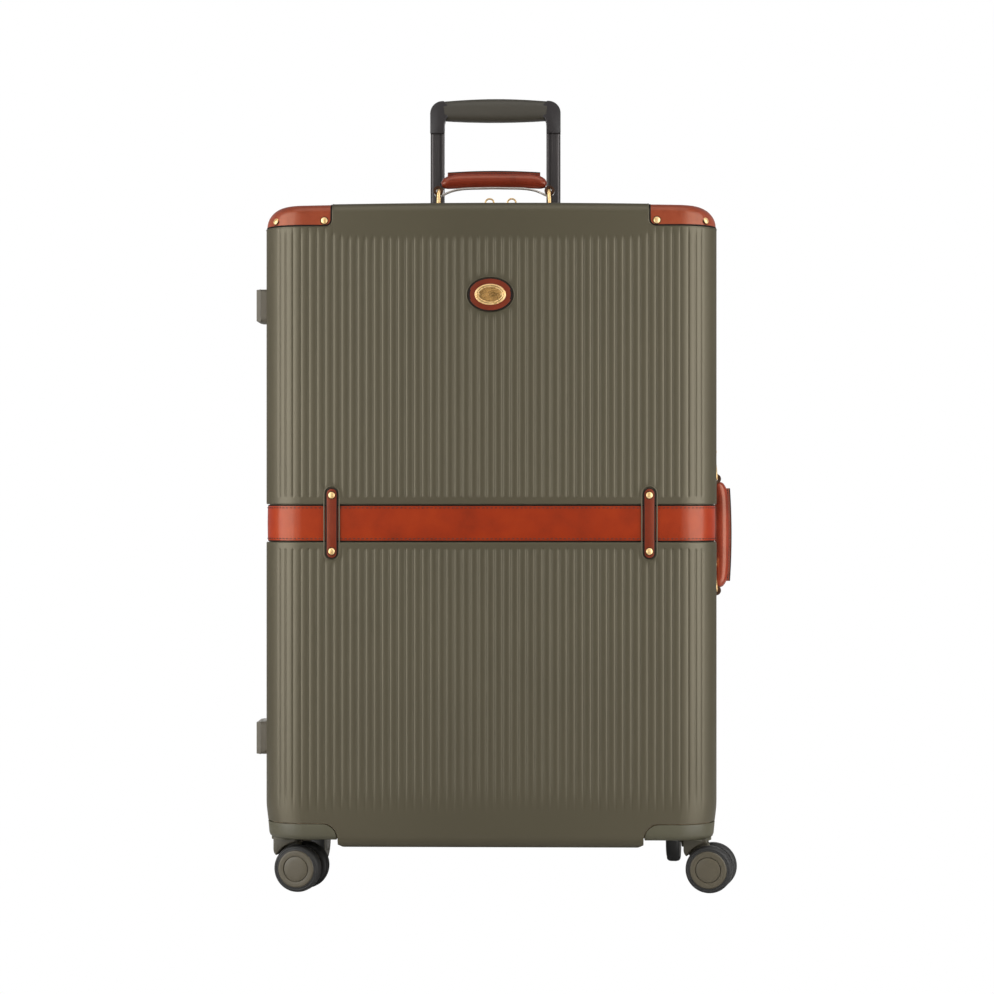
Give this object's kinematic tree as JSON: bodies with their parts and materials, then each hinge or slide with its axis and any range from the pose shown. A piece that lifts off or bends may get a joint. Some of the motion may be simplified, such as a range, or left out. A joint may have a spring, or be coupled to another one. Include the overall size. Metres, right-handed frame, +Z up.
{
  "type": "spinner suitcase",
  "caption": "Upright hard-shell travel case in ribbed half shells with a leather belt, corner guards, carrying handles, a telescopic pull handle and swivelling casters.",
  "frame": {"origin": "on the floor, under the middle of the case's shells", "axes": "+Z up, +X to the right seen from the front, +Y from the front face to the back"},
  "size_m": [0.5632, 0.3192, 0.9533],
  "materials": {
    "shell_plastic": "satin moulded polycarbonate, olive grey",
    "tan_leather": "vegetable-tanned belt leather, red brown",
    "guard_leather": "grained leather, warm tan",
    "dark_leather": "dark red-brown leather with painted edges",
    "brass": "polished, lacquered brass",
    "zip_cloth": "woven zip tape and coil",
    "lining_cloth": "plain woven lining",
    "strap_webbing": "woven webbing",
    "housing_plastic": "moulded nylon, olive grey",
    "tyre_rubber": "soft grey polyurethane",
    "cap_plastic": "moulded nylon, olive",
    "tube_metal": "dark anodised",
    "corner_plastic": "moulded nylon, near black",
    "grip_plastic": "soft-touch olive grip",
    "steel": "plated steel",
    "foot_plastic": "moulded plastic, grey"
  },
  "bodies": {
    "rear_case": {"rear_shell": "shell_plastic", "rear_lining": "lining_cloth", "rear_zip": "zip_cloth", "rear_belt": "tan_leather", "rear_belt_keepers": "dark_leather", "rear_corner_guards": "guard_leather", "rear_rivets": "brass", "rear_caster_housings": "housing_plastic", "rear_side_feet": "foot_plastic", "hinge_rear_leaves": "steel", "hinge_pins": "steel", "packing_straps": "strap_webbing", "trolley_outer_tubes": "tube_metal", "trolley_cup": "corner_plastic", "trolley_foot_bracket": "corner_plastic", "handle_brackets": "brass", "lock_body": "corner_plastic"},
    "front_case": {"front_shell": "shell_plastic", "front_lining": "lining_cloth", "front_zip": "zip_cloth", "front_belt": "tan_leather", "front_belt_keepers": "dark_leather", "front_corner_guards": "guard_leather", "front_rivets": "brass", "badge_backing": "dark_leather", "badge_plate": "brass", "front_caster_housings": "housing_plastic", "front_side_feet": "foot_plastic", "hinge_front_leaves": "steel"},
    "trolley_mid": {"trolley_mid_tubes": "tube_metal"},
    "trolley_top": {"trolley_inner_tubes": "tube_metal", "trolley_grip": "grip_plastic", "trolley_corners": "corner_plastic"},
    "release": {"release_button": "corner_plastic"},
    "top_ring_a": {"top_ring_left": "brass"},
    "top_grip": {"top_handle": "dark_leather"},
    "top_ring_b": {"top_ring_right": "brass"},
    "side_ring_a": {"side_ring_upper": "brass"},
    "side_grip": {"side_handle": "dark_leather"},
    "side_ring_b": {"side_ring_lower": "brass"},
    "slider_left": {"zip_slider_left": "brass"},
    "slider_right": {"zip_slider_right": "brass"},
    "pull_left": {"zip_pull_left": "brass"},
    "pull_right": {"zip_pull_right": "brass"},
    "dial_1": {"lock_dial_1": "brass"},
    "dial_2": {"lock_dial_2": "brass"},
    "dial_3": {"lock_dial_3": "brass"},
    "lock_push": {"lock_button": "brass"},
    "caster_front_left": {"caster_front_left_fork": "housing_plastic"},
    "wheels_front_left": {"caster_front_left_hubs": "cap_plastic", "caster_front_left_tyres": "tyre_rubber"},
    "caster_front_right": {"caster_front_right_fork": "housing_plastic"},
    "wheels_front_right": {"caster_front_right_hubs": "cap_plastic", "caster_front_right_tyres": "tyre_rubber"},
    "caster_rear_left": {"caster_rear_left_fork": "housing_plastic"},
    "wheels_rear_left": {"caster_rear_left_hubs": "cap_plastic", "caster_rear_left_tyres": "tyre_rubber"},
    "caster_rear_right": {"caster_rear_right_fork": "housing_plastic"},
    "wheels_rear_right": {"caster_rear_right_hubs": "cap_plastic", "caster_rear_right_tyres": "tyre_rubber"}
  },
  "joints": [
    {"name": "lid_hinge", "type": "hinge", "parent": "rear_case", "child": "front_case", "pos_m": [-0.267, 0, 0.4235], "axis": [0, 0, -1], "range_deg": [0, 155]},
    {"name": "trolley_stage_1", "type": "slide", "parent": "rear_case", "child": "trolley_mid", "axis": [0, 0, 1], "range_m": [0, 0.14]},
    {"name": "trolley_stage_2", "type": "slide", "parent": "trolley_mid", "child": "trolley_top", "axis": [0, 0, 1], "range_m": [-0.16, 0.015]},
    {"name": "release_press", "type": "slide", "parent": "trolley_top", "child": "release", "axis": [0, 0, -1], "range_m": [0, 0.004], "stiffness_N_per_m": 600, "springref_m": -0.003},
    {"name": "top_ring_swing", "type": "hinge", "parent": "rear_case", "child": "top_ring_a", "pos_m": [-0.068, 0.035, 0.795], "axis": [0, 1, 0], "range_deg": [-60, 60]},
    {"name": "top_handle_pivot", "type": "hinge", "parent": "top_ring_a", "child": "top_grip", "pos_m": [-0.068, 0.035, 0.827], "axis": [0, 1, 0], "range_deg": [-60, 60]},
    {"name": "top_ring_follow", "type": "hinge", "parent": "rear_case", "child": "top_ring_b", "pos_m": [0.068, 0.035, 0.795], "axis": [0, 1, 0], "range_deg": [-60, 60]},
    {"name": "side_ring_swing", "type": "hinge", "parent": "rear_case", "child": "side_ring_a", "pos_m": [0.265, 0.035, 0.508], "axis": [0, -1, 0], "range_deg": [0, 126]},
    {"name": "side_handle_pivot", "type": "hinge", "parent": "side_ring_a", "child": "side_grip", "pos_m": [0.26723, 0.035, 0.47608], "axis": [0, -1, 0], "range_deg": [-126, 0]},
    {"name": "side_ring_follow", "type": "hinge", "parent": "rear_case", "child": "side_ring_b", "pos_m": [0.265, 0.035, 0.372], "axis": [0, -1, 0], "range_deg": [0, 126]},
    {"name": "slider_left_run", "type": "slide", "parent": "rear_case", "child": "slider_left", "axis": [-1, 0, 0], "range_m": [0, 0.18]},
    {"name": "slider_right_run", "type": "slide", "parent": "rear_case", "child": "slider_right", "axis": [1, 0, 0], "range_m": [0, 0.16]},
    {"name": "pull_left_fold", "type": "hinge", "parent": "slider_left", "child": "pull_left", "pos_m": [-0.0045, 0, 0.7935], "axis": [1, 0, 0], "range_deg": [0, 80]},
    {"name": "pull_right_fold", "type": "hinge", "parent": "slider_right", "child": "pull_right", "pos_m": [0.022, 0, 0.7935], "axis": [1, 0, 0], "range_deg": [0, 80]},
    {"name": "lock_press", "type": "slide", "parent": "rear_case", "child": "lock_push", "axis": [0, 0, -1], "range_m": [0, 0.002], "stiffness_N_per_m": 400, "springref_m": -0.002},
    {"name": "dial_1_turn", "type": "hinge", "parent": "rear_case", "child": "dial_1", "pos_m": [0.012, 0.019, 0.7872], "axis": [1, 0, 0], "continuous": true},
    {"name": "dial_2_turn", "type": "hinge", "parent": "rear_case", "child": "dial_2", "pos_m": [0.021, 0.019, 0.7872], "axis": [1, 0, 0], "continuous": true},
    {"name": "dial_3_turn", "type": "hinge", "parent": "rear_case", "child": "dial_3", "pos_m": [0.03, 0.019, 0.7872], "axis": [1, 0, 0], "continuous": true},
    {"name": "front_left_swivel", "type": "hinge", "parent": "front_case", "child": "caster_front_left", "pos_m": [-0.236, -0.113, 0.062], "axis": [0, 0, 1], "continuous": true},
    {"name": "front_left_roll", "type": "hinge", "parent": "caster_front_left", "child": "wheels_front_left", "pos_m": [-0.21839, -0.11674, 0.027], "axis": [0.2079, 0.9781, 0], "continuous": true},
    {"name": "front_right_swivel", "type": "hinge", "parent": "front_case", "child": "caster_front_right", "pos_m": [0.236, -0.113, 0.062], "axis": [0, 0, 1], "continuous": true},
    {"name": "front_right_roll", "type": "hinge", "parent": "caster_front_right", "child": "wheels_front_right", "pos_m": [0.25361, -0.11674, 0.027], "axis": [0.2079, 0.9781, 0], "continuous": true},
    {"name": "rear_left_swivel", "type": "hinge", "parent": "rear_case", "child": "caster_rear_left", "pos_m": [-0.236, 0.113, 0.062], "axis": [0, 0, 1], "continuous": true},
    {"name": "rear_left_roll", "type": "hinge", "parent": "caster_rear_left", "child": "wheels_rear_left", "pos_m": [-0.23412, 0.1309, 0.027], "axis": [-0.9945, 0.1045, 0], "continuous": true},
    {"name": "rear_right_swivel", "type": "hinge", "parent": "rear_case", "child": "caster_rear_right", "pos_m": [0.236, 0.113, 0.062], "axis": [0, 0, 1], "continuous": true},
    {"name": "rear_right_roll", "type": "hinge", "parent": "caster_rear_right", "child": "wheels_rear_right", "pos_m": [0.23788, 0.1309, 0.027], "axis": [-0.9945, 0.1045, 0], "continuous": true}
  ],
  "couplings": [
    {"joint": "top_handle_pivot", "follows": "top_ring_swing", "ratio": -1},
    {"joint": "top_ring_follow", "follows": "top_ring_swing", "ratio": 1},
    {"joint": "side_handle_pivot", "follows": "side_ring_swing", "ratio": -1},
    {"joint": "side_ring_follow", "follows": "side_ring_swing", "ratio": 1}
  ]
}
